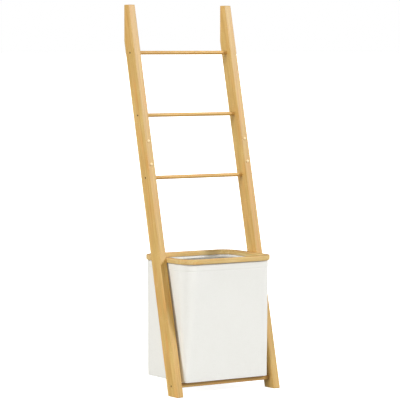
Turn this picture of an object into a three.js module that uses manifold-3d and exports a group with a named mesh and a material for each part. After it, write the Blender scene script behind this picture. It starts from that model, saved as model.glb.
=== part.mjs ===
// Leaning towel ladder with a fabric laundry hamper.
// Millimetres, +Z up. X is the width, +Y points to the wall that the ladder leans on.
// Origin: middle of the footprint of the whole object, on the floor.
import * as THREE from 'three';
import { mergeVertices } from 'three/addons/utils/BufferGeometryUtils.js';
import Module from 'manifold-3d';

// ---- driving dimensions ----------------------------------------------------
const H = 1600;              // overall height
const OUT_W = 509;           // over the outer faces of the stiles
const STILE_T = 31.5;         // stile thickness along X
const STILE_D = 70;          // horizontal depth of a stile
const WALL_Y = 413.5;        // wall plane, from the front foot edge
const CUT_Z = 1449;          // lower end of the vertical cut at the wall
const FRONT_OVER = 18.5;      // the hoop reaches this far in front of the feet
const Y0 = -(WALL_Y - FRONT_OVER) / 2;   // shift that centres the footprint
const LEAN = (WALL_Y - STILE_D) / CUT_Z; // rise of Y per Z
const HALF_IN = OUT_W / 2 - STILE_T;     // inner face of a stile

const RUNG_R = 8;
const RUNG_Z = [1400, 1141.5, 885];
const RUNG_NAMES = ['upper', 'middle', 'lower'];
const SOCKET = 12;           // depth of a rung's socket in the stile
const FIT = 0.3;             // gap between touching faces

const RAIL_H = 17, RAIL_D = 18, RAIL_Z = 43.3, RAIL_Y = 46;

const HOOP_A = HALF_IN - FIT;            // half width of the hoop
const HOOP_B = 182;          // half depth of the hoop
const HOOP_R = 74;           // outer corner radius
const HOOP_W = 20;           // wall of the hoop
const HOOP_H = 20.5;          // height of the hoop
const HOOP_TOP = 562;
const HOOP_Y = 163.5;        // centre, from the front foot edge

const RECESS = 8;            // bag's rim set back from the hoop's outer face
const RIM_Y = 2;             // centre of the bag's rim, behind the hoop's centre
const LOW = { a: 206, b: 149.5, r: 18, y: 4.5 }; // bag's bottom outline, y behind the hoop's centre
const BAG_WALL = 2.4;
const BAG_BOTTOM = 55.5;
const STRAIGHT = 25;         // height of the upright band under the rim
const TAPE_T = 1.2, TAPE_W = 10;
const HEM_T = 4, HEM_W = 9.5, HEM_DROP = 1.5;  // hoop in the top hem, under the folded cloth
const BOARD_T = 3;

const SCREW_HEAD_R = 4, SCREW_HEAD_T = 2.6, SCREW_R = 2.0, SCREW_L = 45;
const CAP_R = 6.4, CAP_T = 3.2, CAP_STEM_R = 4, CAP_STEM_L = 12;
const CAP_Z = [1037.5, 942];  // heights of the caps on the front edges

// ---- helpers -----------------------------------------------------------------
const wasm = await Module();
wasm.setup();

function toSolid(geometry) {
  const g = geometry.clone();
  for (const a of ['normal', 'uv']) if (g.getAttribute(a)) g.deleteAttribute(a);
  const m = mergeVertices(g, 1e-4);
  return new wasm.Manifold(new wasm.Mesh({
    numProp: 3,
    vertProperties: new Float32Array(m.attributes.position.array),
    triVerts: new Uint32Array(m.index.array),
  }));
}
function toGeometry(solid) {
  const mesh = solid.getMesh();
  const g = new THREE.BufferGeometry();
  g.setAttribute('position', new THREE.BufferAttribute(new Float32Array(mesh.vertProperties), 3));
  g.setIndex(new THREE.BufferAttribute(new Uint32Array(mesh.triVerts), 1));
  g.computeVertexNormals();
  return g;
}
function cut(base, tools) {
  let s = toSolid(base);
  for (const t of tools) s = s.subtract(toSolid(t));
  return toGeometry(s);
}
// cylinder from point p along the unit direction d
function rod(p, d, r, len, seg = 20) {
  const g = new THREE.CylinderGeometry(r, r, len, seg);
  g.translate(0, len / 2, 0);
  const q = new THREE.Quaternion().setFromUnitVectors(new THREE.Vector3(0, 1, 0), d.clone().normalize());
  g.applyQuaternion(q);
  g.translate(p.x, p.y, p.z);
  return g;
}
// turned piece: profile of [radius, distance along d]
function turned(p, d, profile, seg = 16) {
  const g = new THREE.LatheGeometry(profile.map(([r, y]) => new THREE.Vector2(r, y)), seg);
  const q = new THREE.Quaternion().setFromUnitVectors(new THREE.Vector3(0, 1, 0), d.clone().normalize());
  g.applyQuaternion(q);
  g.translate(p.x, p.y, p.z);
  return g;
}
function roundedRect(shape, a, b, r) {
  shape.moveTo(-a + r, -b);
  shape.lineTo(a - r, -b);
  shape.absarc(a - r, -b + r, r, -Math.PI / 2, 0, false);
  shape.lineTo(a, b - r);
  shape.absarc(a - r, b - r, r, 0, Math.PI / 2, false);
  shape.lineTo(-a + r, b);
  shape.absarc(-a + r, b - r, r, Math.PI / 2, Math.PI, false);
  shape.lineTo(-a, -b + r);
  shape.absarc(-a + r, -b + r, r, Math.PI, 1.5 * Math.PI, false);
  return shape;
}
// flat hoop with a rounded-rectangle outline, from z0 up
function hoop(a, b, r, w, z0, h, seg = 9, bevel = 0, y = 0) {
  const s = roundedRect(new THREE.Shape(), a - bevel, b - bevel, r - bevel);
  s.holes.push(roundedRect(new THREE.Path(), a - w + bevel, b - w + bevel, Math.max(r - w + bevel, 2)));
  const g = new THREE.ExtrudeGeometry(s, {
    depth: h - 2 * bevel, curveSegments: seg, bevelEnabled: bevel > 0,
    bevelThickness: bevel, bevelSize: bevel, bevelSegments: 3,
  });
  g.translate(0, HOOP_Y + Y0 + y, z0 + bevel);
  return g;
}
function plate(a, b, r, z0, h, y = 0, seg = 9) {
  const s = roundedRect(new THREE.Shape(), a, b, r);
  const g = new THREE.ExtrudeGeometry(s, { depth: h, curveSegments: seg, bevelEnabled: false });
  g.translate(0, HOOP_Y + Y0 + y, z0);
  return g;
}
// closed skin through a stack of rounded-rectangle rings, each { a, b, r, y, z }, all wound alike
function skin(rings, seg = 9) {
  const pos = [], idx = [], m = 4 * (seg + 1);
  for (const { a, b, r, y, z } of rings) {
    for (let q = 0; q < 4; q++) {
      const sx = q === 0 || q === 3 ? 1 : -1, sy = q < 2 ? 1 : -1;
      for (let k = 0; k <= seg; k++) {
        const t = (q + k / seg) * Math.PI / 2;
        pos.push(sx * (a - r) + r * Math.cos(t), HOOP_Y + Y0 + y + sy * (b - r) + r * Math.sin(t), z);
      }
    }
  }
  for (let l = 0; l + 1 < rings.length; l++) {
    for (let i = 0; i < m; i++) {
      const j = (i + 1) % m, u = l * m, v = (l + 1) * m;
      idx.push(u + i, u + j, v + j, u + i, v + j, v + i);
    }
  }
  const last = (rings.length - 1) * m;
  for (let i = 1; i + 1 < m; i++) idx.push(0, i + 1, i, last, last + i, last + i + 1);
  const g = new THREE.BufferGeometry();
  g.setAttribute('position', new THREE.BufferAttribute(new Float32Array(pos), 3));
  g.setIndex(idx);
  return g;
}

const bamboo = (c = 0xdcb377) => new THREE.MeshStandardMaterial({ color: c, roughness: 0.5, metalness: 0 });
const paleWood = () => new THREE.MeshStandardMaterial({ color: 0xf6e2b4, roughness: 0.5, metalness: 0 });
const darkScrew = () => new THREE.MeshStandardMaterial({ color: 0x4a3320, roughness: 0.4, metalness: 0.7 });
const cloth = () => new THREE.MeshStandardMaterial({ color: 0xf0f0ea, roughness: 0.95, metalness: 0 });
const tapeMat = () => new THREE.MeshStandardMaterial({ color: 0xe9e8e2, roughness: 0.9, metalness: 0 });
const boardMat = () => new THREE.MeshStandardMaterial({ color: 0xdedbd2, roughness: 0.8, metalness: 0 });

const group = new THREE.Group();
function add(name, geometry, material) {
  const m = new THREE.Mesh(geometry, material);
  m.name = name;
  group.add(m);
  return m;
}

const centreY = (z) => LEAN * z + STILE_D / 2 + Y0;   // middle of a stile at height z
const X = new THREE.Vector3(1, 0, 0);
const tilt = Math.atan(LEAN);
const intoFront = new THREE.Vector3(0, Math.cos(tilt), -Math.sin(tilt)); // into a stile from its front edge

// ---- rungs, rail and their screws ----------------------------------------------
const bars = RUNG_Z.map((z, i) => ({ name: RUNG_NAMES[i], y: centreY(z), z }));
for (const b of bars) {
  const half = HALF_IN + SOCKET - FIT;
  const dowel = rod(new THREE.Vector3(-half, b.y, b.z), X, RUNG_R, 2 * half, 28);
  const pilots = [-1, 1].map((s) =>
    rod(new THREE.Vector3(s * (half + 1), b.y, b.z), X.clone().multiplyScalar(-s), SCREW_R + FIT, 34, 12));
  add(`rung_${b.name}`, cut(dowel, pilots), bamboo(0xd9ac6c));
}
const railY = RAIL_Y + Y0;
{
  const half = HALF_IN - FIT;
  const s = new THREE.Shape();
  const w = RAIL_D / 2, h = RAIL_H / 2, c = 1.5;
  s.moveTo(-w + c, -h); s.lineTo(w - c, -h); s.lineTo(w, -h + c); s.lineTo(w, h - c);
  s.lineTo(w - c, h); s.lineTo(-w + c, h); s.lineTo(-w, h - c); s.lineTo(-w, -h + c); s.closePath();
  const g = new THREE.ExtrudeGeometry(s, { depth: 2 * half, bevelEnabled: false });
  // shape X -> world Y, shape Y -> world Z, depth -> world X
  g.applyMatrix4(new THREE.Matrix4().makeBasis(
    new THREE.Vector3(0, 1, 0), new THREE.Vector3(0, 0, 1), new THREE.Vector3(1, 0, 0)));
  g.translate(-half, railY, RAIL_Z);
  const pilots = [-1, 1].map((sd) =>
    rod(new THREE.Vector3(sd * (half + 1), railY, RAIL_Z), X.clone().multiplyScalar(-sd), SCREW_R + FIT, 24, 12));
  add('bottom_rail', cut(g, pilots), bamboo(0xd2a467));
}
function sideScrew(name, side, y, z) {
  const face = side * (OUT_W / 2 - 0.4);
  add(name, turned(new THREE.Vector3(face, y, z), X.clone().multiplyScalar(-side), [
    [0, 0.9], [1.3, 0.9], [1.3, 0], [SCREW_HEAD_R - 0.5, 0], [SCREW_HEAD_R, 0.5],
    [SCREW_HEAD_R, SCREW_HEAD_T], [SCREW_R, SCREW_HEAD_T + 0.4], [SCREW_R, SCREW_L - 4], [0.3, SCREW_L - 1], [0, SCREW_L - 1],
  ], 10), darkScrew());
}
for (const b of bars) {
  sideScrew(`rung_screw_${b.name}_left`, -1, b.y, b.z);
  sideScrew(`rung_screw_${b.name}_right`, 1, b.y, b.z);
}
sideScrew('rail_screw_left', -1, railY, RAIL_Z);
sideScrew('rail_screw_right', 1, railY, RAIL_Z);

// ---- hoop and the screws that hold it to the stiles ------------------------------
const hoopScrewZ = HOOP_TOP - HOOP_H / 2;
const hoopScrewY = [-17, 17].map((d) => centreY(hoopScrewZ) + d);
{
  const tools = [];
  for (const side of [-1, 1]) {
    for (const y of hoopScrewY) {
      const p = new THREE.Vector3(side * (HOOP_A - HOOP_W - 1), y, hoopScrewZ);
      const d = X.clone().multiplyScalar(side);
      tools.push(rod(p, d, SCREW_HEAD_R + FIT, 1 + SCREW_HEAD_T + 1.2, 14));
      tools.push(rod(p, d, SCREW_R + FIT, HOOP_W + 3, 12));
    }
  }
  add('hamper_hoop', cut(hoop(HOOP_A, HOOP_B, HOOP_R, HOOP_W, HOOP_TOP - HOOP_H, HOOP_H, 16, 2), tools), bamboo(0xdbb070));
}
for (const side of [-1, 1]) {
  hoopScrewY.forEach((y, i) => {
    const p = new THREE.Vector3(side * (HOOP_A - HOOP_W + 0.6), y, hoopScrewZ);
    add(`hoop_screw_${side < 0 ? 'left' : 'right'}_${i ? 'rear' : 'front'}`,
      turned(p, X.clone().multiplyScalar(side), [
        [0, 0.9], [1.3, 0.9], [1.3, 0], [SCREW_HEAD_R - 0.5, 0], [SCREW_HEAD_R, 0.5],
        [SCREW_HEAD_R, SCREW_HEAD_T], [SCREW_R, SCREW_HEAD_T + 0.4], [SCREW_R, 34], [0.3, 37], [0, 37],
      ], 10), darkScrew());
  });
}

// ---- stiles ------------------------------------------------------------------------
const EDGE = 2, CORNER = 3;  // rounding along the long edges and at the profile's corners
// Prism along X whose profile (Y, Z) has rounded corners and whose rims are rounded too.
function easedPrism(profile, x0, x1, steps = 3) {
  const n = profile.length, dirs = [];
  for (let i = 0; i < n; i++) {
    const p = profile[(i + n - 1) % n], c = profile[i], q = profile[(i + 1) % n];
    const e1 = [c[0] - p[0], c[1] - p[1]], e2 = [q[0] - c[0], q[1] - c[1]];
    const l1 = Math.hypot(...e1), l2 = Math.hypot(...e2);
    const a1 = Math.atan2(-e1[0] / l1, e1[1] / l1); // outward normals of the two sides
    let a2 = Math.atan2(-e2[0] / l2, e2[1] / l2);
    while (a2 < a1) a2 += 2 * Math.PI;
    const d = 1 + Math.cos(a2 - a1);
    const cy = c[0] - CORNER * (Math.cos(a1) + Math.cos(a2)) / d;
    const cz = c[1] - CORNER * (Math.sin(a1) + Math.sin(a2)) / d;
    for (let k = 0; k <= steps; k++) {
      const t = a1 + (a2 - a1) * k / steps;
      dirs.push([cy, cz, Math.cos(t), Math.sin(t)]);
    }
  }
  const m = dirs.length, levels = [];
  for (let k = 0; k <= steps; k++) {
    const t = (Math.PI / 2) * k / steps;
    levels.push([x0 + EDGE * (1 - Math.sin(t)), CORNER - EDGE * (1 - Math.cos(t))]);
  }
  levels.reverse();
  for (let k = 0; k <= steps; k++) {
    const t = (Math.PI / 2) * k / steps;
    levels.push([x1 - EDGE * (1 - Math.sin(t)), CORNER - EDGE * (1 - Math.cos(t))]);
  }
  levels.sort((p, q) => p[0] - q[0]);
  const pos = [], idx = [];
  for (const [x, r] of levels) for (const [cy, cz, ny, nz] of dirs) pos.push(x, cy + r * ny, cz + r * nz);
  const L = levels.length;
  for (let l = 0; l + 1 < L; l++) {
    for (let i = 0; i < m; i++) {
      const j = (i + 1) % m, u = l * m, v = (l + 1) * m;
      idx.push(u + i, u + j, v + j, u + i, v + j, v + i);
    }
  }
  const ring = (l) => dirs.map((_, i) => new THREE.Vector2(pos[3 * (l * m + i) + 1], pos[3 * (l * m + i) + 2]));
  const tri = THREE.ShapeUtils.triangulateShape(ring(0), []);
  for (const [p, q, r] of tri) idx.push(p, r, q);
  const top = (L - 1) * m;
  for (const [p, q, r] of THREE.ShapeUtils.triangulateShape(ring(L - 1), [])) idx.push(top + p, top + q, top + r);
  const g = new THREE.BufferGeometry();
  g.setAttribute('position', new THREE.BufferAttribute(new Float32Array(pos), 3));
  g.setIndex(idx);
  return g;
}
function stile(side) {
  // side profile in (Y, Z)
  const pts = [
    [0, 0], [STILE_D, 0], [WALL_Y, CUT_Z], [WALL_Y, H], [LEAN * H, H],
  ].map(([y, z]) => [y + Y0, z]);
  const g = side < 0 ? easedPrism(pts, -OUT_W / 2, -HALF_IN) : easedPrism(pts, HALF_IN, OUT_W / 2);

  const tools = [];
  const inward = X.clone().multiplyScalar(-side);
  for (const b of bars) {
    tools.push(rod(new THREE.Vector3(side * (HALF_IN - 1), b.y, b.z), X.clone().multiplyScalar(side), RUNG_R + FIT, SOCKET + 1, 28));
  }
  for (const [y, z] of [...bars.map((b) => [b.y, b.z]), [railY, RAIL_Z]]) {
    tools.push(rod(new THREE.Vector3(side * (OUT_W / 2 + 1), y, z), inward, SCREW_HEAD_R + FIT, 1 + 0.4 + SCREW_HEAD_T + 0.7, 14));
    tools.push(rod(new THREE.Vector3(side * (OUT_W / 2 + 1), y, z), inward, SCREW_R + FIT, STILE_T + 2, 12));
  }
  for (const y of hoopScrewY) {
    tools.push(rod(new THREE.Vector3(side * (HALF_IN - 1), y, hoopScrewZ), X.clone().multiplyScalar(side), SCREW_R + FIT, 21, 12));
  }
  for (const z of CAP_Z) {
    const p = new THREE.Vector3(side * (HALF_IN + STILE_T / 2), LEAN * z + Y0, z).addScaledVector(intoFront, -1);
    tools.push(rod(p, intoFront, CAP_STEM_R + FIT, CAP_STEM_L + 2.5, 14));
  }
  return cut(g, tools);
}
add('stile_left', stile(-1), bamboo());
add('stile_right', stile(1), bamboo());

// pale round caps on the front edges
for (const side of [-1, 1]) {
  CAP_Z.forEach((z, i) => {
    const p = new THREE.Vector3(side * (HALF_IN + STILE_T / 2), LEAN * z + Y0, z);
    const out = intoFront.clone().negate();
    add(`front_cap_${side < 0 ? 'left' : 'right'}_${i ? 'lower' : 'upper'}`, turned(p, out, [
      [0, -CAP_STEM_L], [CAP_STEM_R - 0.5, -CAP_STEM_L], [CAP_STEM_R, -CAP_STEM_L + 0.5], [CAP_STEM_R, FIT],
      [CAP_R, FIT], [CAP_R, 1.6], [CAP_R - 0.9, 2.6], [CAP_R - 3, CAP_T], [0, CAP_T + 0.2],
    ], 16), paleWood());
  });
}

// ---- bag -----------------------------------------------------------------------------
const A = HOOP_A - RECESS, B = HOOP_B - RECESS, R = HOOP_R - RECESS;
const hoopBottom = HOOP_TOP - HOOP_H;
const hookTop = hoopBottom - FIT;
const loopTop = hookTop - TAPE_T - FIT;
const rimTop = loopTop - TAPE_T - FIT;
add('hook_tape', hoop(A - 1.2, B - 1.2, R - 1.2, TAPE_W, hookTop - TAPE_T, TAPE_T, 7), tapeMat());
add('loop_tape', hoop(A - 1.2, B - 1.2, R - 1.2, TAPE_W, loopTop - TAPE_T, TAPE_T, 7, 0, RIM_Y), tapeMat());
add('hem_hoop', hoop(A - BAG_WALL - FIT, B - BAG_WALL - FIT, R - BAG_WALL - FIT, HEM_W, rimTop - HEM_DROP - HEM_T, HEM_T, 7, 0, RIM_Y), boardMat());
{
  // upright band at the rim, then a straight taper down to the squarer bottom
  const top = { a: A, b: B, r: R, y: RIM_Y };
  const shrink = (o, d, z) => ({ a: o.a - d, b: o.b - d, r: o.r - d, y: o.y, z });
  const outer = skin([shrink(LOW, 0, BAG_BOTTOM), shrink(top, 0, rimTop - STRAIGHT), shrink(top, 0, rimTop)]);
  const inner = skin([shrink(LOW, BAG_WALL, BAG_BOTTOM + BAG_WALL), shrink(top, BAG_WALL, rimTop - STRAIGHT), shrink(top, BAG_WALL, rimTop + 1)]);
  add('bag_shell', cut(outer, [inner]), cloth());
}
{
  const d = BAG_WALL + 1.5;
  add('bottom_board', plate(LOW.a - d, LOW.b - d, LOW.r - d, BAG_BOTTOM + BAG_WALL + FIT, BOARD_T, LOW.y, 7), boardMat());
}

export default group;
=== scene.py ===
import math
import random

import bpy
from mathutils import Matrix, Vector
from mathutils import noise as mnoise


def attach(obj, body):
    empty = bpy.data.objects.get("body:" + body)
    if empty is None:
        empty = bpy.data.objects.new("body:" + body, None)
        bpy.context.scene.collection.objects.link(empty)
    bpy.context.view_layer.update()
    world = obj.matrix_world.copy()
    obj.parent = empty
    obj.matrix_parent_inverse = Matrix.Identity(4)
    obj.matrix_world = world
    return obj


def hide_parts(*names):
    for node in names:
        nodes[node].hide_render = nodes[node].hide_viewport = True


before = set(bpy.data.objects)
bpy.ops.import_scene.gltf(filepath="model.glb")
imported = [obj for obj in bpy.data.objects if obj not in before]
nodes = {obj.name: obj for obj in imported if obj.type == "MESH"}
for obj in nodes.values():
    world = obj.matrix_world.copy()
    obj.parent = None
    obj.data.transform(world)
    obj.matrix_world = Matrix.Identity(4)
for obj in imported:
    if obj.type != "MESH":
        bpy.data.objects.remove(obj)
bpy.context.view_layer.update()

scene = bpy.context.scene
scene.view_settings.view_transform = "Standard"
scene.view_settings.look = "None"
rng = random.Random(11)

# ---- dimensions, in metres, as in the CAD ---------------------------------------
STILE_D = 0.070
LEAN = (0.4135 - STILE_D) / 1.449
TILT = math.atan(LEAN)
HALF_IN = 0.2230
Y0 = -0.1975
HOOP_A, HOOP_B, HOOP_R, HOOP_W, HOOP_H = 0.2227, 0.182, 0.074, 0.020, 0.0205
HOOP_TOP, HOOP_Y = 0.562, -0.0340
BAG_A, BAG_B, BAG_R, RIM_Y = HOOP_A - 0.008, HOOP_B - 0.008, HOOP_R - 0.008, 0.002   # rim of the bag
LOW_A, LOW_B, LOW_R, LOW_Y = 0.206, 0.1495, 0.018, 0.0045                             # its bottom
RIM = 0.5382
FLOOR_Z = 0.0555
CLOTH = 0.0009


# ---- camera ------------------------------------------------------------------------
target = Vector((0.0, -0.00525, 0.762))
az, pitch, dist = math.radians(32.82), math.radians(4.06), 9.410
fwd = Vector((math.sin(az) * math.cos(pitch), math.cos(az) * math.cos(pitch), -math.sin(pitch)))
cam_data = bpy.data.cameras.new("camera")
cam = bpy.data.objects.new("camera", cam_data)
scene.collection.objects.link(cam)
cam.location = target - fwd * dist
cam.rotation_euler = fwd.to_track_quat("-Z", "Y").to_euler()
cam_data.sensor_fit = "HORIZONTAL"
cam_data.sensor_width = 36.0
cam_data.lens = 2255.4 / 400 * 36.0
cam_data.shift_x = -0.010425
cam_data.shift_y = 0.0152
cam_data.clip_start = 0.1
cam_data.clip_end = 2000.0
scene.camera = cam


# ---- node helper ---------------------------------------------------------------------
class Tree:
    def __init__(self, name):
        self.mat = bpy.data.materials.new(name)
        self.mat.use_nodes = True
        self.t = self.mat.node_tree
        self.t.nodes.clear()
        self.out = self.t.nodes.new("ShaderNodeOutputMaterial")
        self.bsdf = self.t.nodes.new("ShaderNodeBsdfPrincipled")
        self.t.links.new(self.bsdf.outputs[0], self.out.inputs["Surface"])
        self.coord = self.t.nodes.new("ShaderNodeTexCoord")
        self.geo = self.t.nodes.new("ShaderNodeNewGeometry")

    def put(self, socket, value):
        if isinstance(value, bpy.types.NodeSocket):
            self.t.links.new(value, socket)
        elif value is not None:
            if hasattr(socket.default_value, "__len__") and not hasattr(value, "__len__"):
                value = [value] * len(socket.default_value)
            socket.default_value = value

    def math(self, op, a, b=None, c=None, clamp=False):
        n = self.t.nodes.new("ShaderNodeMath")
        n.operation = op
        n.use_clamp = clamp
        for i, v in enumerate((a, b, c)):
            self.put(n.inputs[i], v)
        return n.outputs[0]

    def vmath(self, op, a, b=None):
        n = self.t.nodes.new("ShaderNodeVectorMath")
        n.operation = op
        self.put(n.inputs[0], a)
        self.put(n.inputs[1], b)
        return n.outputs["Value"] if op in ("DOT_PRODUCT", "LENGTH") else n.outputs[0]

    def xyz(self, x, y, z):
        n = self.t.nodes.new("ShaderNodeCombineXYZ")
        for i, v in enumerate((x, y, z)):
            self.put(n.inputs[i], v)
        return n.outputs[0]

    def split(self, v):
        n = self.t.nodes.new("ShaderNodeSeparateXYZ")
        self.put(n.inputs[0], v)
        return n.outputs

    def noise(self, vec, scale=1.0, detail=2.0, rough=0.5, distort=0.0):
        n = self.t.nodes.new("ShaderNodeTexNoise")
        self.put(n.inputs["Vector"], vec)
        n.inputs["Scale"].default_value = scale
        n.inputs["Detail"].default_value = detail
        n.inputs["Roughness"].default_value = rough
        n.inputs["Distortion"].default_value = distort
        return n.outputs[0]

    def white(self, vec):
        n = self.t.nodes.new("ShaderNodeTexWhiteNoise")
        n.noise_dimensions = "3D"
        self.put(n.inputs["Vector"], vec)
        return n.outputs["Value"]

    def ramp(self, fac, stops, mode="LINEAR"):
        n = self.t.nodes.new("ShaderNodeValToRGB")
        n.color_ramp.interpolation = mode
        e = n.color_ramp.elements
        while len(e) < len(stops):
            e.new(0.5)
        for el, (p, c) in zip(e, stops):
            el.position = p
            el.color = (*c, 1.0) if hasattr(c, "__len__") else (c, c, c, 1.0)
        self.put(n.inputs[0], fac)
        return n.outputs[0]

    def mix(self, fac, a, b, blend="MIX"):
        n = self.t.nodes.new("ShaderNodeMix")
        n.data_type = "RGBA"
        n.blend_type = blend
        self.put(n.inputs[0], fac)
        for s, v in ((n.inputs[6], a), (n.inputs[7], b)):
            if isinstance(v, bpy.types.NodeSocket):
                self.t.links.new(v, s)
            else:
                s.default_value = (*v, 1.0) if len(v) == 3 else v
        return n.outputs[2]

    def range(self, v, a, b, c=0.0, d=1.0, smooth=False):
        n = self.t.nodes.new("ShaderNodeMapRange")
        n.interpolation_type = "SMOOTHSTEP" if smooth else "LINEAR"
        self.put(n.inputs["Value"], v)
        for k, x in (("From Min", a), ("From Max", b), ("To Min", c), ("To Max", d)):
            self.put(n.inputs[k], x)
        return n.outputs[0]

    def bump(self, height, distance, strength=1.0, normal=None):
        n = self.t.nodes.new("ShaderNodeBump")
        n.inputs["Strength"].default_value = strength
        n.inputs["Distance"].default_value = distance
        self.put(n.inputs["Height"], height)
        if normal is not None:
            self.t.links.new(normal, n.inputs["Normal"])
        return n.outputs[0]

    def uv(self, name):
        n = self.t.nodes.new("ShaderNodeUVMap")
        n.uv_map = name
        return n.outputs[0]

    def finish(self, color, rough, normal=None, **fixed):
        self.put(self.bsdf.inputs["Base Color"], color)
        self.put(self.bsdf.inputs["Roughness"], rough)
        if normal is not None:
            self.t.links.new(normal, self.bsdf.inputs["Normal"])
        for k, v in fixed.items():
            self.bsdf.inputs[k.replace("_", " ")].default_value = v
        return self.mat


# ---- bamboo ------------------------------------------------------------------------------
# Laminated strips with their own tone, long fibres, short dark vascular flecks and the
# knuckle lines where a strip crosses a joint of the cane, under a satin clear lacquer.
def bamboo(name, layout, gain=(1.0, 1.0, 1.0), side=(0.90, 0.76, 0.56), strip=0.0195, layer=0.0094):
    m = Tree(name)
    P = m.coord.outputs["Object"]
    N = m.geo.outputs["Normal"]
    if layout == "stile":
        along = m.vmath("DOT_PRODUCT", P, (0.0, math.sin(TILT), math.cos(TILT)))
        deep = m.vmath("DOT_PRODUCT", P, (0.0, math.cos(TILT), -math.sin(TILT)))
        wide = m.vmath("DOT_PRODUCT", P, (1.0, 0.0, 0.0))
        face = m.math("ABSOLUTE", m.vmath("DOT_PRODUCT", N, (1.0, 0.0, 0.0)))
        joint = None
    elif layout == "bar":
        along = m.vmath("DOT_PRODUCT", P, (1.0, 0.0, 0.0))
        deep = m.vmath("DOT_PRODUCT", P, (0.0, 1.0, 0.0))
        wide = m.vmath("DOT_PRODUCT", P, (0.0, 0.0, 1.0))
        face = m.math("ABSOLUTE", m.vmath("DOT_PRODUCT", N, (0.0, 1.0, 0.0)))
        joint = None
    else:
        x, y, z = m.split(P)
        off = m.math("SUBTRACT", m.math("ABSOLUTE", m.math("SUBTRACT", y, HOOP_Y)), 0.093)
        # finger joint between the end pieces and the side pieces
        saw = m.math("PINGPONG", z, 0.0026)
        off = m.math("SUBTRACT", off, m.math("MULTIPLY", saw, 3.0))
        end = m.math("GREATER_THAN", off, 0.0)
        joint = m.range(m.math("ABSOLUTE", off), 0.0, 0.0007, 1.0, 0.0)
        side_piece = m.math("SUBTRACT", 1.0, end)
        along = m.math("ADD", m.math("MULTIPLY", x, end), m.math("MULTIPLY", y, side_piece))
        deep = m.math("ADD", m.math("MULTIPLY", y, end), m.math("MULTIPLY", x, side_piece))
        deep = m.math("ADD", deep, m.math("MULTIPLY", z, 0.35))
        wide = z
        face = m.math("ABSOLUTE", m.vmath("DOT_PRODUCT", N, (0.0, 0.0, 1.0)))
    # strips
    row = m.math("FLOOR", m.math("DIVIDE", m.math("ADD", wide, 1.0), layer))
    shift = m.math("MULTIPLY", m.white(m.xyz(row, 3.0, 1.0)), 0.02)
    col = m.math("FLOOR", m.math("DIVIDE", m.math("ADD", m.math("ADD", deep, shift), 1.0), strip))
    ident = m.xyz(row, col, 7.0)
    tone = m.white(ident)
    tone2 = m.white(m.xyz(col, row, 19.0))
    edge_a = m.math("ABSOLUTE", m.math("SUBTRACT", m.math("FRACT", m.math("DIVIDE", m.math("ADD", m.math("ADD", deep, shift), 1.0), strip)), 0.5))
    glue = m.range(edge_a, 0.484, 0.5, 0.0, 1.0)
    # fibres
    fine = m.noise(m.xyz(m.math("MULTIPLY", wide, 1150.0), m.math("MULTIPLY", deep, 1150.0), m.math("MULTIPLY", along, 11.0)), 1.0, 3.0, 0.6)
    mid = m.noise(m.xyz(m.math("MULTIPLY", wide, 300.0), m.math("MULTIPLY", deep, 300.0), m.math("ADD", m.math("MULTIPLY", along, 5.0), m.math("MULTIPLY", tone, 30.0))), 1.0, 2.0, 0.55)
    slow = m.noise(m.xyz(m.math("MULTIPLY", wide, 40.0), m.math("MULTIPLY", deep, 40.0), m.math("ADD", m.math("MULTIPLY", along, 6.5), m.math("MULTIPLY", tone2, 9.0))), 1.0, 2.0, 0.5)
    fleck = m.noise(m.xyz(m.math("MULTIPLY", wide, 1900.0), m.math("MULTIPLY", deep, 1900.0), m.math("MULTIPLY", along, 120.0)), 1.0, 1.0, 0.5)
    fleck = m.range(fleck, 0.62, 0.72, 0.0, 1.0)
    # knuckles of the cane, at another height on each strip
    where = m.math("ADD", along, m.math("ADD", m.math("MULTIPLY", tone2, 0.31), m.math("MULTIPLY", mid, 0.0035)))
    knot = m.math("ABSOLUTE", m.math("SUBTRACT", m.math("PINGPONG", m.math("ADD", where, 3.0), 0.137), 0.0685))
    knot = m.math("SUBTRACT", 0.0685, knot)
    line = m.range(knot, 0.0, 0.0014, 1.0, 0.0, smooth=True)
    halo = m.range(knot, 0.0, 0.009, 1.0, 0.0, smooth=True)
    t = m.math("ADD", 0.5, m.math("MULTIPLY", m.math("SUBTRACT", tone, 0.5), 0.14))
    t = m.math("ADD", t, m.math("MULTIPLY", m.math("SUBTRACT", mid, 0.5), 0.85))
    t = m.math("ADD", t, m.math("MULTIPLY", m.math("SUBTRACT", slow, 0.5), 0.70))
    t = m.math("ADD", t, m.math("MULTIPLY", m.math("SUBTRACT", fine, 0.5), 0.45))
    t = m.math("ADD", t, m.math("MULTIPLY", halo, 0.10), clamp=True)
    g = gain
    col_ = m.ramp(t, [
        (0.00, (0.440 * g[0], 0.225 * g[1], 0.052 * g[2])),
        (0.35, (0.565 * g[0], 0.345 * g[1], 0.100 * g[2])),
        (0.62, (0.655 * g[0], 0.435 * g[1], 0.152 * g[2])),
        (1.00, (0.770 * g[0], 0.565 * g[1], 0.245 * g[2])),
    ])
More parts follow.
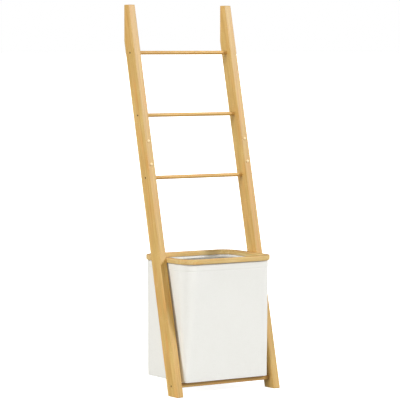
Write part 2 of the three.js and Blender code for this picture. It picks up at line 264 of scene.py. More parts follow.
    # some strips run to orange, some to straw, and change slowly along their length
    hue = m.noise(m.xyz(m.math("MULTIPLY", tone, 40.0), m.math("MULTIPLY", tone2, 40.0), m.math("MULTIPLY", along, 7.0)), 1.0, 1.0, 0.5)
    col_ = m.mix(m.range(hue, 0.50, 0.70, 0.0, 0.8), col_, (1.06, 0.93, 0.80), "MULTIPLY")
    col_ = m.mix(m.range(hue, 0.50, 0.30, 0.0, 0.8), col_, (0.98, 1.03, 0.98), "MULTIPLY")
    col_ = m.mix(m.math("MULTIPLY", fleck, 0.30), col_, (0.62, 0.52, 0.42), "MULTIPLY")
    col_ = m.mix(m.math("MULTIPLY", line, 0.42), col_, (0.55, 0.40, 0.28), "MULTIPLY")
    col_ = m.mix(m.math("MULTIPLY", glue, 0.35), col_, (0.62, 0.50, 0.38), "MULTIPLY")
    if joint is not None:
        col_ = m.mix(m.math("MULTIPLY", joint, 0.5), col_, (0.45, 0.34, 0.24), "MULTIPLY")
    # the faces picked by face get their own tint. On the bars it is the slightly darker flat of the strips.
    # On the stiles it makes the broad faces lighter and bluer than the fronts: partly the flat of the strips, partly
    # painted light.
    # On the hoop it makes the top and bottom faces darker and more orange: painted shade.
    col_ = m.mix(m.range(face, 0.35, 0.95, 0.0, 1.0), col_, m.mix(1.0, col_, side, "MULTIPLY"))
    # eased edges are rubbed a little paler
    eased = m.math("MULTIPLY", m.math("MULTIPLY", face, face), m.math("SUBTRACT", 1.0, m.math("MULTIPLY", face, face)))
    worn = m.math("MULTIPLY", m.math("MULTIPLY", eased, 3.2), m.noise(m.xyz(wide, deep, m.math("MULTIPLY", along, 0.4)), 60.0, 3.0, 0.6), clamp=True)
    if layout != "bar":
        col_ = m.mix(m.math("MULTIPLY", worn, 0.18), col_, (0.88, 0.70, 0.40))
    rough = m.range(m.math("ADD", m.math("MULTIPLY", fine, 0.6), m.math("MULTIPLY", slow, 0.4)), 0.2, 0.8, 0.34, 0.52)
    h = m.math("ADD", m.math("MULTIPLY", fine, 0.6), m.math("MULTIPLY", mid, 0.4))
    h = m.math("SUBTRACT", h, m.math("MULTIPLY", m.math("ADD", line, glue), 0.35))
    return m.finish(col_, rough, m.bump(h, 0.00022, 0.55), Coat_Weight=0.14, Coat_Roughness=0.28, Specular_IOR_Level=0.34)


# stiles: the side tint above 1 is partly the flat of the strips and partly painted light on the broad faces
MAT_STILE = bamboo("bamboo_stile", "stile", gain=(0.89, 0.84, 0.66), side=(1.26, 1.34, 1.73))
# the rail's copy is darker than the rungs' copy: painted shade for its place under the bag
MAT_RAIL_SHADED = bamboo("bamboo_bar", "bar", gain=(0.88, 0.84, 0.86), side=(1.0, 0.98, 0.98), strip=0.0068, layer=0.0062)
MAT_RUNG = bamboo("bamboo_rung", "bar", gain=(1.10, 1.04, 1.00), side=(1.0, 0.98, 0.98), strip=0.0068, layer=0.0062)
# hoop: the side tint darkens its top and bottom faces as painted shade
MAT_HOOP = bamboo("bamboo_hoop", "hoop", gain=(1.14, 1.26, 1.62), side=(0.81, 0.66, 0.40), strip=0.0075, layer=0.0105)


def turned_wood():
    m = Tree("pale_wood")
    P = m.coord.outputs["Object"]
    n = m.noise(P, 900.0, 3.0, 0.6)
    # end grain: fine rings seen across the cap
    deep = m.vmath("DOT_PRODUCT", P, (0.0, math.sin(TILT), math.cos(TILT)))
    ring = m.math("SINE", m.math("ADD", m.math("MULTIPLY", deep, 5200.0), m.math("MULTIPLY", m.noise(P, 160.0, 2.0), 9.0)))
    t = m.math("ADD", m.math("MULTIPLY", n, 0.7), m.math("MULTIPLY", ring, 0.16))
    col = m.ramp(t, [(0.1, (0.78, 0.56, 0.27)), (0.5, (0.88, 0.69, 0.38)), (0.9, (0.94, 0.80, 0.52))])
    return m.finish(col, m.range(n, 0.3, 0.7, 0.36, 0.5), m.bump(n, 0.0001, 0.4), Coat_Weight=0.2, Coat_Roughness=0.25)


def bronze():
    m = Tree("screw_bronze")
    P = m.coord.outputs["Object"]
    n = m.noise(P, 1400.0, 3.0, 0.6)
    s = m.noise(m.vmath("MULTIPLY", P, (300.0, 4200.0, 600.0)), 1.0, 2.0, 0.6)
    col = m.ramp(m.math("ADD", m.math("MULTIPLY", n, 0.6), m.math("MULTIPLY", s, 0.4)),
                 [(0.25, (0.050, 0.028, 0.014)), (0.6, (0.105, 0.062, 0.034)), (0.85, (0.21, 0.135, 0.08))])
    return m.finish(col, m.range(s, 0.25, 0.75, 0.30, 0.50), m.bump(s, 0.00005, 0.4), Metallic=0.85)


MAT_CAP = turned_wood()
MAT_SCREW = bronze()


# ---- cloth materials ---------------------------------------------------------------------------
# Plain weave drawn in cloth coordinates (metres along the warp and the weft).
def canvas(name, base=(0.884, 0.896, 0.890), pitch=0.00085, uvname="cloth", darken_low=True):
    m = Tree(name)
    uv = m.uv(uvname)
    u, v, _ = m.split(uv)
    P = m.coord.outputs["Object"]
    wob = m.math("MULTIPLY", m.noise(m.vmath("MULTIPLY", uv, (130.0, 130.0, 1.0)), 1.0, 1.0), 0.0008)
    k = math.pi / pitch
    su = m.math("SINE", m.math("MULTIPLY", m.math("ADD", u, wob), k))
    sv = m.math("SINE", m.math("MULTIPLY", m.math("ADD", v, wob), k))
    warp, weft = m.math("ABSOLUTE", su), m.math("ABSOLUTE", sv)
    over = m.math("GREATER_THAN", m.math("MULTIPLY", su, sv), 0.0)
    hw = m.math("MULTIPLY", m.math("POWER", warp, 0.6), m.math("ADD", 0.55, m.math("MULTIPLY", weft, 0.45)))
    hf = m.math("MULTIPLY", m.math("POWER", weft, 0.6), m.math("ADD", 0.55, m.math("MULTIPLY", warp, 0.45)))
    height = m.math("ADD", m.math("MULTIPLY", hw, over), m.math("MULTIPLY", hf, m.math("SUBTRACT", 1.0, over)))
    # yarns differ a little along their length
    slub_u = m.noise(m.xyz(m.math("MULTIPLY", u, 1150.0), m.math("MULTIPLY", v, 24.0), 0.0), 1.0, 2.0, 0.6)
    slub_v = m.noise(m.xyz(m.math("MULTIPLY", u, 24.0), m.math("MULTIPLY", v, 1150.0), 5.0), 1.0, 2.0, 0.6)
    slub = m.math("ADD", m.math("MULTIPLY", slub_u, 0.5), m.math("MULTIPLY", slub_v, 0.5))
    cloud = m.noise(P, 7.0, 3.0, 0.6)
    t = m.math("ADD", m.math("MULTIPLY", slub, 0.8), m.math("MULTIPLY", height, 0.22))
    dark = tuple(c * f for c, f in zip(base, (0.905, 0.90, 0.885)))
    light = tuple(min(1.0, c * 1.035) for c in base)
    col = m.ramp(t, [(0.25, dark), (0.55, base), (0.85, light)])
    col = m.mix(m.range(cloud, 0.35, 0.75, 0.0, 0.10), col, (0.90, 0.885, 0.85), "MULTIPLY")
    # darker and warmer in patches within 5 cm of the bottom
    if darken_low:
        z = m.split(P)[2]
        low = m.range(z, FLOOR_Z, FLOOR_Z + 0.05, 1.0, 0.0, smooth=True)
        low = m.math("MULTIPLY", low, m.range(m.noise(P, 38.0, 3.0, 0.7), 0.4, 0.7, 0.0, 0.12))
        col = m.mix(low, col, (0.80, 0.76, 0.69), "MULTIPLY")
    rough = m.range(slub, 0.3, 0.7, 0.82, 0.95)
    big = m.noise(m.vmath("MULTIPLY", P, (26.0, 26.0, 12.0)), 1.0, 3.0, 0.55)
    n1 = m.bump(big, 0.0016, 0.35)
    n2 = m.bump(m.math("ADD", m.math("MULTIPLY", height, 0.7), m.math("MULTIPLY", slub, 0.5)), 0.00022, 0.55, n1)
    return m.finish(col, rough, n2, Sheen_Weight=0.18, Sheen_Roughness=0.5, Specular_IOR_Level=0.25)


def thread():
    m = Tree("thread")
    P = m.coord.outputs["Object"]
    n = m.noise(P, 2600.0, 2.0, 0.6)
    col = m.ramp(n, [(0.3, (0.72, 0.705, 0.67)), (0.7, (0.86, 0.85, 0.82))])
    return m.finish(col, m.range(n, 0.3, 0.7, 0.55, 0.8), m.bump(n, 0.00008, 0.5), Sheen_Weight=0.2)


def fleece(name, base):
    m = Tree(name)
    P = m.coord.outputs["Object"]
    n = m.noise(P, 1500.0, 4.0, 0.7, 0.4)
    v = m.noise(P, 420.0, 2.0, 0.6)
    t = m.math("ADD", m.math("MULTIPLY", n, 0.7), m.math("MULTIPLY", v, 0.3))
    col = m.ramp(t, [(0.3, tuple(c * 0.72 for c in base)), (0.55, base), (0.8, tuple(min(1, c * 1.08) for c in base))])
    return m.finish(col, m.range(n, 0.3, 0.7, 0.8, 1.0), m.bump(t, 0.0006, 0.8), Sheen_Weight=0.35)


def board():
    m = Tree("stiff_board")
    P = m.coord.outputs["Object"]
    n = m.noise(P, 260.0, 3.0, 0.6)
    col = m.ramp(n, [(0.3, (0.70, 0.68, 0.62)), (0.7, (0.80, 0.78, 0.73))])
    return m.finish(col, m.range(n, 0.3, 0.7, 0.5, 0.7), m.bump(n, 0.0002, 0.4))


MAT_CANVAS = canvas("canvas")
MAT_LINING = canvas("canvas_base", base=(0.84, 0.84, 0.83), darken_low=False)
MAT_THREAD = thread()
MAT_HOOK = fleece("tape_hook", (0.80, 0.79, 0.76))
MAT_LOOP = fleece("tape_loop", (0.84, 0.83, 0.80))
MAT_BOARD = board()


for n, o in nodes.items():
    if n.startswith("stile"):
        mat = MAT_STILE
    elif n.startswith(("rung_screw", "rail_screw", "hoop_screw")):
        mat = MAT_SCREW
    elif n.startswith("rung"):
        mat = MAT_RUNG
    elif n == "bottom_rail":
        mat = MAT_RAIL_SHADED
    elif n == "hamper_hoop":
        mat = MAT_HOOP
    elif n.startswith("front_cap"):
        mat = MAT_CAP
    elif n == "hook_tape":
        mat = MAT_HOOK
    elif n == "loop_tape":
        mat = MAT_LOOP
    else:
        mat = MAT_BOARD
    for i in range(max(1, len(o.material_slots))):
        if len(o.material_slots) == 0:
            o.data.materials.append(mat)
        else:
            o.material_slots[i].material = mat


# ---- mesh helpers ------------------------------------------------------------------------------
def outline(s, a, b, r):
    """Point and outward normal on a rounded rectangle, s metres from the middle of its back
    (+Y) side, going towards -X. The length round it is returned with s=None."""
    sx, sy, q = 2 * (a - r), 2 * (b - r), math.pi * r / 2
    total = 2 * sx + 2 * sy + 4 * q
    if s is None:
        return total
    s = s % total
    if s < sx / 2:
        return -s, b, 0.0, 1.0
    s -= sx / 2
    for k, (cx, cy, a0, length) in enumerate((
        (-(a - r), b - r, 90.0, sy), (-(a - r), -(b - r), 180.0, sx),
        (a - r, -(b - r), 270.0, sy), (a - r, b - r, 0.0, sx / 2 + 1e-9),
    )):
        if s < q:
            t = math.radians(a0) + s / r
            return cx + r * math.cos(t), cy + r * math.sin(t), math.cos(t), math.sin(t)
        s -= q
        if s <= length:
            if k == 0:
                return -a, (b - r) - s, -1.0, 0.0
            if k == 1:
                return -(a - r) + s, -b, 0.0, -1.0
            if k == 2:
                return a, -(b - r) + s, 1.0, 0.0
            return (a - r) - s, b, 0.0, 1.0
        s -= length
    return 0.0, b, 0.0, 1.0


def mesh_object(name, verts, faces, mat, body, smooth=True, uvs=None, uvname="cloth"):
    me = bpy.data.meshes.new(name)
    me.from_pydata([tuple(v) for v in verts], [], faces)
    me.validate()
    if uvs is not None:
        layer = me.uv_layers.new(name=uvname)
        k = 0
        for f in uvs:
            for uv in f:
                layer.data[k].uv = uv
                k += 1
    if smooth:
        me.polygons.foreach_set("use_smooth", [True] * len(me.polygons))
    me.materials.append(mat)
    me.update()
    o = bpy.data.objects.new(name, me)
    scene.collection.objects.link(o)
    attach(o, body)
    return o


def loft(name, rings, mat, body, closed_path=False, uvs=None, cap_start=None, cap_end=None, flip=False):
    """rings[i][j] is a point: i along the section's path, j round the loop. uvs[i] is (list of u
    round the loop with one more for the seam, v)."""
    n, m = len(rings), len(rings[0])
    verts = [p for r in rings for p in r]
    faces, fuv = [], []
    rows = n if closed_path else n - 1
    for i in range(rows):
        i2 = (i + 1) % n
        for j in range(m):
            j2 = (j + 1) % m
            f = (i * m + j, i * m + j2, i2 * m + j2, i2 * m + j)
            uvf = None
            if uvs is not None:
                (ua, va), (ub, vb) = uvs[i], uvs[i2]
                uvf = ((ua[j], va), (ua[j + 1], va), (ub[j + 1], vb), (ub[j], vb))
            if flip:
                f = f[::-1]
                uvf = uvf[::-1] if uvf else None
            faces.append(f)
            fuv.append(uvf)
    return mesh_object(name, verts, faces, mat, body, uvs=fuv if uvs is not None else None)


def add_thickness(o, t):
    mod = o.modifiers.new("thickness", "SOLIDIFY")
    mod.thickness = t
    mod.offset = -1.0
    mod.use_even_offset = False
    mod.use_rim = True


def fbm(x, y, z, octaves=3):
    v, a, f = 0.0, 1.0, 1.0
    for _ in range(octaves):
        v += a * mnoise.noise(Vector((x * f, y * f, z * f)))
        a *= 0.5
        f *= 2.0
    return v


def sstep(a, b, x):
    t = min(1.0, max(0.0, (x - a) / (b - a)))
    return t * t * (3 - 2 * t)


# ---- hoop and rungs in fine mesh -------------------------------------------------------------------
def rounded_section(w, h, r, steps=5):
    """Closed path (inset, up) of a rounded bar w wide and h tall, starting on its outer face."""
    pts = []
    for cx, cz, a0 in ((-r, r, -90), (-r, h - r, 0), (-w + r, h - r, 90), (-w + r, r, 180)):
        for k in range(steps + 1):
            t = math.radians(a0 + 90 * k / steps)
            pts.append((cx + r * math.cos(t), cz + r * math.sin(t)))
    return pts


def hoop_piece():
    per = outline(None, HOOP_A, HOOP_B, HOOP_R)
    count = 260
    section = rounded_section(HOOP_W, HOOP_H, 0.0024, 5)
    rings = []
    for off, up in section:
        ring = []
        for j in range(count):
            x, y, nx, ny = outline(per * j / count, HOOP_A, HOOP_B, HOOP_R)
            ring.append((x + nx * off, y + ny * off + HOOP_Y, HOOP_TOP - HOOP_H + up))
        rings.append(ring)
    o = loft("hoop_bar", rings, MAT_HOOP, "frame", closed_path=True, flip=True)
    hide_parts("hamper_hoop")
    return o


def rung_piece(which, z):
    y = LEAN * z + STILE_D / 2 + Y0
    half, r, seg = HALF_IN + 0.0117, 0.008, 48
    xs = [-half, -half + 0.0008]
    xs += [-HALF_IN + 2 * HALF_IN * k / 60 for k in range(61)]
    xs += [half - 0.0008, half]
    rings = []
    for x in xs:
        rr = r - 0.0008 if abs(x) > half - 0.0004 else r
        # a turned rod is never quite even
        rr += 0.00007 * mnoise.noise(Vector((x * 22, z * 9, 0.3)))
        rings.append([(x, y + rr * math.cos(2 * math.pi * j / seg), z + rr * math.sin(2 * math.pi * j / seg)) for j in range(seg)])
    n = len(rings)
    verts = [p for ring in rings for p in ring]
    faces = []
    for i in range(n - 1):
        for j in range(seg):
            j2 = (j + 1) % seg
            faces.append((i * seg + j, i * seg + j2, (i + 1) * seg + j2, (i + 1) * seg + j))
    faces.append(tuple(reversed(range(seg))))
    faces.append(tuple((n - 1) * seg + j for j in range(seg)))
    faces = [f[::-1] for f in faces]
    o = mesh_object(f"rung_{which}_rod", verts, faces, MAT_RUNG, "frame")
    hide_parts(f"rung_{which}")
    return o


hoop_bar = hoop_piece()
for which, z in (("upper", 1.400), ("middle", 1.1415), ("lower", 0.885)):
    rung_piece(which, z)


# ---- the bag -------------------------------------------------------------------------------------------
PER = outline(None, BAG_A, BAG_B, BAG_R)
HEM = RIM - 0.025          # lower edge of the hem
SEAM_HALF = 0.0055         # half width of the felled seam up the back


def around():
    """Positions round the bag: even, with more beside the back seam."""
    count = 300
    s = [PER * j / count for j in range(count)]
    extra = [SEAM_HALF - 0.0004, SEAM_HALF + 0.0004, 0.0025]
    s += extra + [PER - e for e in extra]
    s = sorted(set(round(v, 6) for v in s))
    keep = [s[0]]
    for v in s[1:]:
        near = any(abs(v - e) < 0.00035 for e in extra + [PER - e for e in extra])
        if v - keep[-1] > 0.0006 or near:
            keep.append(v)
    return keep


S = around()


# parts of the outline in order: kind, index, length at the rim
PARTS = [("side", 0, BAG_A - BAG_R), ("corner", 0, math.pi * BAG_R / 2), ("side", 1, 2 * (BAG_B - BAG_R)),
         ("corner", 1, math.pi * BAG_R / 2), ("side", 2, 2 * (BAG_A - BAG_R)), ("corner", 2, math.pi * BAG_R / 2),
         ("side", 3, 2 * (BAG_B - BAG_R)), ("corner", 3, math.pi * BAG_R / 2), ("side", 4, BAG_A - BAG_R)]


def share(s):
    """Which part of the outline s (metres round the rim) lies on, and how far along it, 0 to 1."""
    s = s % PER
    for kind, k, length in PARTS:
        if s <= length:
            return kind, k, s / length
        s -= length
    return "side", 4, 1.0


def girth(z):
    """Half width, half depth, corner radius and centre of the bag at height z."""
    t = min(1.0, max(0.0, (z - FLOOR_Z) / (HEM - FLOOR_Z)))
    return (LOW_A + (BAG_A - LOW_A) * t, LOW_B + (BAG_B - LOW_B) * t, LOW_R + (BAG_R - LOW_R) * t,
            HOOP_Y + LOW_Y + (RIM_Y - LOW_Y) * t)


def place(s, z):
    """Point of the bag's pattern at s and height z, and its outward normal seen from above."""
    a, b, r, cy = girth(z)
    kind, k, f = share(s)
    if kind == "corner":
        t = math.radians(90 + 90 * (k + f))
        sx = -1 if k in (0, 1) else 1
        sy = 1 if k in (0, 3) else -1
        return sx * (a - r) + r * math.cos(t), sy * (b - r) + r * math.sin(t) + cy, math.cos(t), math.sin(t)
    if k == 0:
        return -across(f, a - r), b + cy, 0.0, 1.0
    if k == 1:
        return -a, (b - r) * (1 - 2 * f) + cy, -1.0, 0.0
    if k == 2:
        return -(a - r) * (1 - 2 * f), -b + cy, 0.0, -1.0
    if k == 3:
        return a, -(b - r) * (1 - 2 * f) + cy, 1.0, 0.0
    return across(1 - f, a - r), b + cy, 0.0, 1.0


def across(f, half):
    """Distance from the back seam: the cloth beside the seam keeps its width."""
    rim = BAG_A - BAG_R
    return f * rim + (half - rim) * sstep(0.08, 1.0, f)


def lengths(z, ss):
    """True length round the bag at height z up to each s in ss, and all the way round."""
    total, last, out = 0.0, None, []
    for s in list(ss) + [ss[0]]:
        x, y, nx, ny = place(s, z)
        if last is not None:
            total += math.hypot(x - last[0], y - last[1])
        last = (x, y)
        out.append(total)
    return out


def even(z, count):
    """count values of s that are evenly spaced round the bag at height z."""
    ss = [PER * j / 1200 for j in range(1200)]
    run = lengths(z, ss)
    out, k = [], 0
    for j in range(count):
        want = run[-1] * (j + 0.5) / count
        while run[k + 1] < want:
            k += 1
        f = (want - run[k]) / max(1e-9, run[k + 1] - run[k])
        out.append(PER * (k + f) / 1200)
    return out


def soft(s, z):
    """How far the cloth stands off its pattern, outward positive."""
    v = (z - FLOOR_Z) / (HEM - FLOOR_Z)
    if v <= 0 or v >= 1:
        hold = 0.0
    else:
        hold = sstep(0.0, 0.10, v) * sstep(1.0, 0.93, v)
    x, y, nx, ny = place(s, z)
    kind, which, u = share(s)
    d = 0.0
    if kind == "side":
        if which in (0, 4):
            u = 0.5 + u / 2 if which == 0 else u / 2
        bow = math.sin(math.pi * u)
        if which in (0, 2, 4):
            d += 0.0016 * bow * math.sin(math.pi * v * 0.9) * (1.0 - 1.9 * sstep(0.35, 0.95, v)) * 0.9
        else:
            d -= 0.0014 * bow * math.sin(math.pi * v)
    # long soft waves that hang from the hem
    d += 0.0009 * fbm(x * 7.5, y * 7.5, z * 2.3 + 4.0, 3)
    # slack pulled towards the corners
    d += 0.00055 * fbm(x * 17 + z * 6, y * 17 - z * 6, z * 7 + 9.0, 2)
    d *= hold
    # small gathers above the bottom seam and below the hem
    low = sstep(0.085, 0.0, z - FLOOR_Z) * sstep(0.0, 0.012, z - FLOOR_Z)
    d += 0.0007 * low * fbm(x * 60, y * 60, z * 9, 2)
    top = sstep(0.040, 0.0, HEM - z) * sstep(-0.002, 0.004, HEM - z)
    d += 0.00035 * top * fbm(x * 95, y * 95, z * 12 + 2.0, 2)
    return max(-0.0035, min(0.0019, d))


def hem_step(z):
    return 0.0008 * sstep(HEM - 0.0003, HEM + 0.0006, z)


def seam_step(s, z):
    e = min(s, PER - s)
    return 0.0008 * sstep(SEAM_HALF + 0.0005, SEAM_HALF - 0.0005, e) * (0.0 if z > HEM else 1.0)


def bag_body():
    # section path: (outward, height), from the bottom seam up, over the rim, round the stiff
    # hoop in the hem and down again inside the wall
    z0 = FLOOR_Z + 0.0040
    path = [(-0.0010, z0 - 0.0030), (-0.0003, z0 - 0.0018), (0.0, z0)]
    rows = 74
    for k in range(1, rows + 1):
        path.append((0.0, z0 + (HEM - 0.0008 - z0) * k / rows))
    path += [(0.0, HEM - 0.0003), (0.0, HEM + 0.0002), (0.0, HEM + 0.0007)]
    for k in range(1, 9):
        path.append((0.0, HEM + 0.0007 + (RIM - 0.0016 - HEM - 0.0007) * k / 8))
    walls = len(path)
    c = 0.0016
    top = []
    for k in range(1, 5):
        t = math.radians(90 * k / 4)
        top.append((0.0008 - c + c * math.cos(t), RIM - c + c * math.sin(t)))
    w = 0.0123                     # how far the fold reaches in over the stiff hoop
    for k in range(1, 6):
        top.append((0.0008 - c + (-w - 0.0008 + c) * k / 5, RIM - 0.00015 * math.sin(math.pi * k / 5)))
    for k in range(1, 5):
        t = math.radians(90 + 90 * k / 4)
        top.append((-w + 0.0012 * math.cos(t), RIM - 0.0012 + 0.0012 * math.sin(t)))
    top += [(-w - 0.0013, RIM - 0.0030), (-w - 0.0013, RIM - 0.0050)]
    for k in range(1, 5):
        t = math.radians(180 + 90 * k / 4)
        top.append((-w - 0.0001 + 0.0012 * math.cos(t), RIM - 0.0055 + 0.0012 * math.sin(t)))
    top += [(-0.0095, RIM - 0.0067), (-0.0067, RIM - 0.0067), (-0.0040, RIM - 0.0068), (-0.0028, RIM - 0.0071), (-0.0022, RIM - 0.0082)]
    for k in range(1, 6):
        top.append((-0.0021, RIM - 0.0082 - 0.0085 * k / 5))
    path += top
    rings, uvs, v = [], [], 0.0
    for i, (off, z) in enumerate(path):
        if i:
            v += math.hypot(off - path[i - 1][0], z - path[i - 1][1])
        ring = []
        for s in S:
            x, y, nx, ny = place(s, z)
            if i < walls:
                d = off + soft(s, z) + hem_step(z) + seam_step(s, z)
                if z > HEM + 0.0007:
                    # the thread draws the hem in along its two rows
                    for row in (HEM + 0.0024, RIM - 0.0092):
                        d -= 0.0003 * math.exp(-((z - row) / 0.0012) ** 2)
                    d += 0.00022 * mnoise.noise(Vector((x * 70, y * 70, z * 20)))
                dz = 0.0
            else:
                d = off + 0.0001 * mnoise.noise(Vector((x * 60, y * 60, z * 50)))
                dz = 0.00012 * mnoise.noise(Vector((x * 45, y * 45, 3.0))) - 0.00014
            ring.append((x + nx * d, y + ny * d, z + dz))
        rings.append(ring)
        run = lengths(z, S)
        uvs.append(([c * PER / run[-1] for c in run], v))
    o = loft("bag_cloth", rings, MAT_CANVAS, "bag", uvs=uvs, flip=True)
    add_thickness(o, CLOTH)
    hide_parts("bag_shell")
    return o, v


body_cloth, body_len = bag_body()


def loop(a, b, r, corner=10, long=44, short=34):
    """Points of a rounded rectangle, always the same number of them."""
    pts = []
    for q in range(4):
        for k in range(corner + 1):
            t = math.radians(90 * (q + k / corner))
            sx, sy = (1 if q in (0, 3) else -1), (1 if q < 2 else -1)
            pts.append((sx * (a - r) + r * math.cos(t), sy * (b - r) + r * math.sin(t)))
        x0, y0 = pts[-1]
        x1, y1 = ((-(a - r), b), (-a, -(b - r)), (a - r, -b), (a, b - r))[q]
        m = long if q in (0, 2) else short
        pts += [(x0 + (x1 - x0) * k / m, y0 + (y1 - y0) * k / m) for k in range(1, m)]
    return pts


def disc_rings(a, b, r, inset0, zs_of, steps, count=240):
    """Rings of a rounded rectangle shrinking to a slit, for a flat panel."""
    per = outline(None, a, b, r)
    rings = []
    for k in range(steps + 1):
        f = 1.0 - k / steps
        ring = []
        for j in range(count):
            x, y, nx, ny = outline(per * j / count, a, b, r)
            px, py = (x - nx * inset0) * f, (y - ny * inset0) * f
            ring.append((px, py, zs_of(px, py)))
        rings.append(ring)
    return rings


def bottom_panel():
    def z_at(x, y):
        e = max(abs(x) / LOW_A, abs(y) / LOW_B)
        sag = 0.0010 * (1 - sstep(0.45, 1.0, e))
        lift = 0.0007 * sstep(0.965, 0.995, e)
        return FLOOR_Z + 0.0012 - sag + lift + 0.00022 * fbm(x * 12, y * 12, 1.0, 2)

    rings = disc_rings(LOW_A, LOW_B, LOW_R, 0.0012, z_at, 26)
    verts, faces, uvs = [], [], []
    m = len(rings[0])
    for ring in rings[:-1]:
        verts += [(x, y + HOOP_Y + LOW_Y, z) for x, y, z in ring]
    verts.append((0.0, HOOP_Y + LOW_Y, z_at(0, 0)))
    n = len(rings) - 1
    for i in range(n - 1):
        for j in range(m):
            j2 = (j + 1) % m
            faces.append((i * m + j, (i + 1) * m + j, (i + 1) * m + j2, i * m + j2))
    for j in range(m):
        faces.append(((n - 1) * m + j, len(verts) - 1, (n - 1) * m + (j + 1) % m))
    for f in faces:
        uvs.append([(verts[i][0], verts[i][1]) for i in f])
    o = mesh_object("bag_bottom_cloth", verts, faces, MAT_CANVAS, "bag", uvs=uvs)
    add_thickness(o, CLOTH)
    return o


bottom_cloth = bottom_panel()


def piping():
    """Covered cord in the seam between the wall and the bottom."""
    r, seg, count = 0.0016, 12, 300
    low = outline(None, LOW_A, LOW_B, LOW_R)
    rings, uvs = [], []
    for i in range(seg):
        t = 2 * math.pi * i / seg
        ring = []
        for j in range(count):
            s = low * j / count
            x, y, nx, ny = outline(s, LOW_A, LOW_B, LOW_R)
            rr = r * (1 + 0.05 * mnoise.noise(Vector((x * 50, y * 50, 0.0))))
            d = -0.0006 + rr * math.cos(t)
            ring.append((x + nx * d, y + ny * d + HOOP_Y + LOW_Y, FLOOR_Z + 0.0011 + rr * math.sin(t)))
        rings.append(ring)
        uvs.append(([low * j / count for j in range(count + 1)], r * t))
    o = loft("bag_piping", rings, MAT_CANVAS, "bag", closed_path=True, uvs=uvs, flip=True)
    return o


piping_piece = piping()


# ---- stitching ---------------------------------------------------------------------------------------------
def stitches(name, rows, body="bag", length=0.0030, r=0.00034):
    """rows: lists of (point, tangent, normal). Each stitch is a small plump thread that dives
    into the cloth at both ends."""
    verts, faces = [], []
    for row in rows:
        for p, t, n in row:
            p, t, n = Vector(p), Vector(t).normalized(), Vector(n).normalized()
            side = t.cross(n).normalized()
            base = len(verts)
            prof = ((-0.5, 0.25, -0.9), (-0.34, 0.85, 0.15), (0.0, 1.0, 0.55), (0.34, 0.85, 0.15), (0.5, 0.25, -0.9))
            k = 6
            tw = rng.uniform(-0.06, 0.06)
            tt = (t + side * tw).normalized()
            for a, w, h in prof:
                c = p + tt * (a * length) + n * (h * r)
                for q in range(k):
                    ang = 2 * math.pi * q / k
                    verts.append(c + side * (math.cos(ang) * r * w) + n * (math.sin(ang) * r * w))
            for i in range(len(prof) - 1):
                for q in range(k):
                    q2 = (q + 1) % k
                    faces.append((base + i * k + q, base + i * k + q2, base + (i + 1) * k + q2, base + (i + 1) * k + q))
            faces.append(tuple(base + q for q in reversed(range(k))))
            faces.append(tuple(base + (len(prof) - 1) * k + q for q in range(k)))
    o = mesh_object(name, verts, faces, MAT_THREAD, body)
    return o


def row_round(z, extra, inner=False, pitch=0.0042):
    out = []
    for s in even(z, int(lengths(z, S)[-1] / pitch)):
        x, y, nx, ny = place(s, z)
        if inner:
            d = extra
            n = (-nx, -ny, 0.0)
        else:
            d = soft(s, z) + hem_step(z) + extra
            n = (nx, ny, 0.0)
        out.append(((x + nx * d, y + ny * d, z), (-ny, nx, 0.0), n))
    return out


def row_up(offset, z0, z1, pitch=0.0042):
    out = []
    count = int((z1 - z0) / pitch)
    for j in range(count):
        z = z0 + (z1 - z0) * (j + 0.5) / count
        s = offset % PER
        x, y, nx, ny = place(s, z)
        d = soft(s, z) + 0.0008
        out.append(((x + nx * d, y + ny * d, z), (0.0, 0.0, 1.0), (nx, ny, 0.0)))
    return out


stitch_rows = [row_round(HEM + 0.0024, -0.00022), row_round(RIM - 0.0092, -0.00022), row_round(FLOOR_Z + 0.0080, 0.0),
               row_up(0.0036, FLOOR_Z + 0.0105, HEM - 0.001), row_up(-0.0036, FLOOR_Z + 0.0105, HEM - 0.001),
               row_round(RIM - 0.0125, -0.0021, inner=True)]
thread_piece = stitches("bag_stitching", stitch_rows)


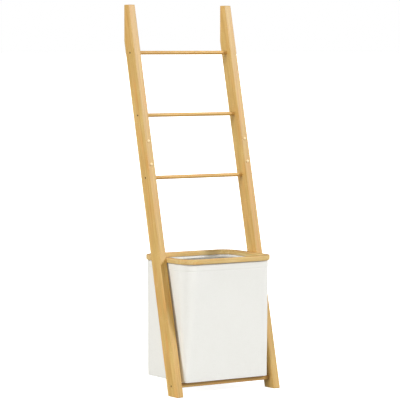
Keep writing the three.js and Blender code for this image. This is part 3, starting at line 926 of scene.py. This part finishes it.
# ---- stiffened base that lies in the bag -----------------------------------------------------------------------
def base_insert():
    a, b, r = LOW_A - 0.0039, LOW_B - 0.0039, LOW_R - 0.0039
    z0, z1 = FLOOR_Z + 0.0020, FLOOR_Z + 0.0063
    rings, uvs = [], []

    def ring_at(off, z):
        return [(x, y, z) for x, y in loop(a + off, b + off, max(r + off, 0.0015))]

    def top_z(x, y):
        e = max(abs(x) / a, abs(y) / b)
        z = z1 + 0.0007 * (1 - sstep(0.5, 0.95, e))
        # the border is stitched down 9 mm in
        dx, dy = a - abs(x), b - abs(y)
        d = min(dx, dy)
        z -= 0.0006 * math.exp(-((d - 0.009) / 0.0016) ** 2)
        return z + 0.00018 * fbm(x * 25, y * 25, 0.0, 2)

    for k in range(14, 0, -1):
        f = 1 - k / 14
        rings.append([(x * f, y * f, z0) for x, y, _ in ring_at(-0.002, z0)] if f > 0 else [(x * 0.02, y * 0.02, z0) for x, y, _ in ring_at(-0.002, z0)])
    for k in range(7):
        t = math.radians(-90 + 180 * k / 6)
        rings.append(ring_at(-0.002 + 0.0018 * math.cos(t), (z0 + z1) / 2 + (z1 - z0) / 2 * math.sin(t)))
    for inset in (0.004, 0.006, 0.0075, 0.009, 0.0105, 0.012, 0.015, 0.020):
        rings.append([(x, y, top_z(x, y)) for x, y, _ in ring_at(-inset, 0)])
    last = ring_at(-0.020, 0)
    for k in range(1, 20):
        f = 1 - k / 19.4
        rings.append([(x * f, y * f, top_z(x * f, y * f)) for x, y, _ in last])
    m = len(last)
    verts = [(x, y + HOOP_Y + LOW_Y, z) for ring in rings for x, y, z in ring]
    faces = []
    for i in range(len(rings) - 1):
        for j in range(m):
            j2 = (j + 1) % m
            faces.append((i * m + j, (i + 1) * m + j, (i + 1) * m + j2, i * m + j2))
    faces.append(tuple(range(m)))
    faces.append(tuple(reversed(range((len(rings) - 1) * m, len(rings) * m))))
    faces = [f[::-1] for f in faces]
    uvs = [[(verts[i][0], verts[i][1]) for i in f] for f in faces]
    o = mesh_object("base_insert", verts, faces, MAT_LINING, "bag", uvs=uvs)
    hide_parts("bottom_board")
    return o


insert_piece = base_insert()


# ---- floor, light and surroundings ---------------------------------------------------------------------------------
def floor():
    me = bpy.data.meshes.new("floor")
    r, n = 400.0, 128
    me.from_pydata([(r * math.cos(2 * math.pi * k / n), r * math.sin(2 * math.pi * k / n), -0.0005) for k in range(n)], [], [tuple(range(n))])
    o = bpy.data.objects.new("floor", me)
    scene.collection.objects.link(o)
    m = Tree("floor")
    P = m.coord.outputs["Object"]
    n_ = m.noise(P, 3.0, 3.0, 0.5)
    col = m.ramp(n_, [(0.3, (0.86, 0.86, 0.855)), (0.7, (0.88, 0.88, 0.875))])
    # the floor fades into the white surroundings away from the object
    far = m.range(m.vmath("LENGTH", P), 0.5, 4.0, FLOOR_GLOW, 1.0, smooth=True)
    m.bsdf.inputs["Emission Color"].default_value = (1, 1, 1, 1)
    m.put(m.bsdf.inputs["Emission Strength"], far)
    m.finish(col, m.range(n_, 0.3, 0.7, 0.85, 0.9), Specular_IOR_Level=0.1)
    # a darker cloth is what the object itself sees of the floor
    dim = m.t.nodes.new("ShaderNodeBsdfDiffuse")
    dim.inputs["Color"].default_value = (0.42, 0.415, 0.40, 1.0)
    path = m.t.nodes.new("ShaderNodeLightPath")
    mixer = m.t.nodes.new("ShaderNodeMixShader")
    m.t.links.new(path.outputs["Is Camera Ray"], mixer.inputs[0])
    m.t.links.new(dim.outputs[0], mixer.inputs[1])
    m.t.links.new(m.bsdf.outputs[0], mixer.inputs[2])
    m.t.links.new(mixer.outputs[0], m.out.inputs["Surface"])
    me.materials.append(m.mat)
    return o


FLOOR_GLOW = 0.84
floor()


def sun(name, az_deg, el_deg, strength, angle, color=(1, 1, 1)):
    """Light from az_deg to the right of the front (-Y) and el_deg up."""
    d = bpy.data.lights.new(name, "SUN")
    d.energy = strength
    d.angle = math.radians(angle)
    d.color = color
    o = bpy.data.objects.new(name, d)
    scene.collection.objects.link(o)
    a, e = math.radians(az_deg), math.radians(el_deg)
    towards = Vector((math.sin(a) * math.cos(e), -math.cos(a) * math.cos(e), math.sin(e)))
    o.location = towards * 4
    o.rotation_euler = (-towards).to_track_quat("-Z", "Y").to_euler()
    return o


sun("key", 38.0, 27.0, 1.90, 12.0, (1.0, 1.0, 0.99))
sun("side", -80.0, 26.0, 1.82, 34.0, (1.0, 0.985, 0.94))

world = bpy.data.worlds.new("studio")
world.use_nodes = True
scene.world = world
wt = world.node_tree
wt.nodes.clear()
w_out = wt.nodes.new("ShaderNodeOutputWorld")
w_bg = wt.nodes.new("ShaderNodeBackground")
w_seen = wt.nodes.new("ShaderNodeBackground")
w_mix = wt.nodes.new("ShaderNodeMixShader")
w_path = wt.nodes.new("ShaderNodeLightPath")
# brighter at the horizon than overhead
w_gen = wt.nodes.new("ShaderNodeTexCoord")
w_xyz = wt.nodes.new("ShaderNodeSeparateXYZ")
w_map = wt.nodes.new("ShaderNodeMapRange")
wt.links.new(w_gen.outputs["Generated"], w_xyz.inputs[0])
wt.links.new(w_xyz.outputs[2], w_map.inputs["Value"])
for key, value in (("From Min", 0.0), ("From Max", 1.0), ("To Min", 0.66), ("To Max", 0.40)):
    w_map.inputs[key].default_value = value
w_bg.inputs["Color"].default_value = (1.0, 0.97, 0.91, 1.0)
wt.links.new(w_map.outputs[0], w_bg.inputs["Strength"])
w_seen.inputs["Color"].default_value = (1.0, 1.0, 1.0, 1.0)
w_seen.inputs["Strength"].default_value = 1.0
wt.links.new(w_path.outputs["Is Camera Ray"], w_mix.inputs[0])
wt.links.new(w_bg.outputs[0], w_mix.inputs[1])
wt.links.new(w_seen.outputs[0], w_mix.inputs[2])
wt.links.new(w_mix.outputs[0], w_out.inputs[0])
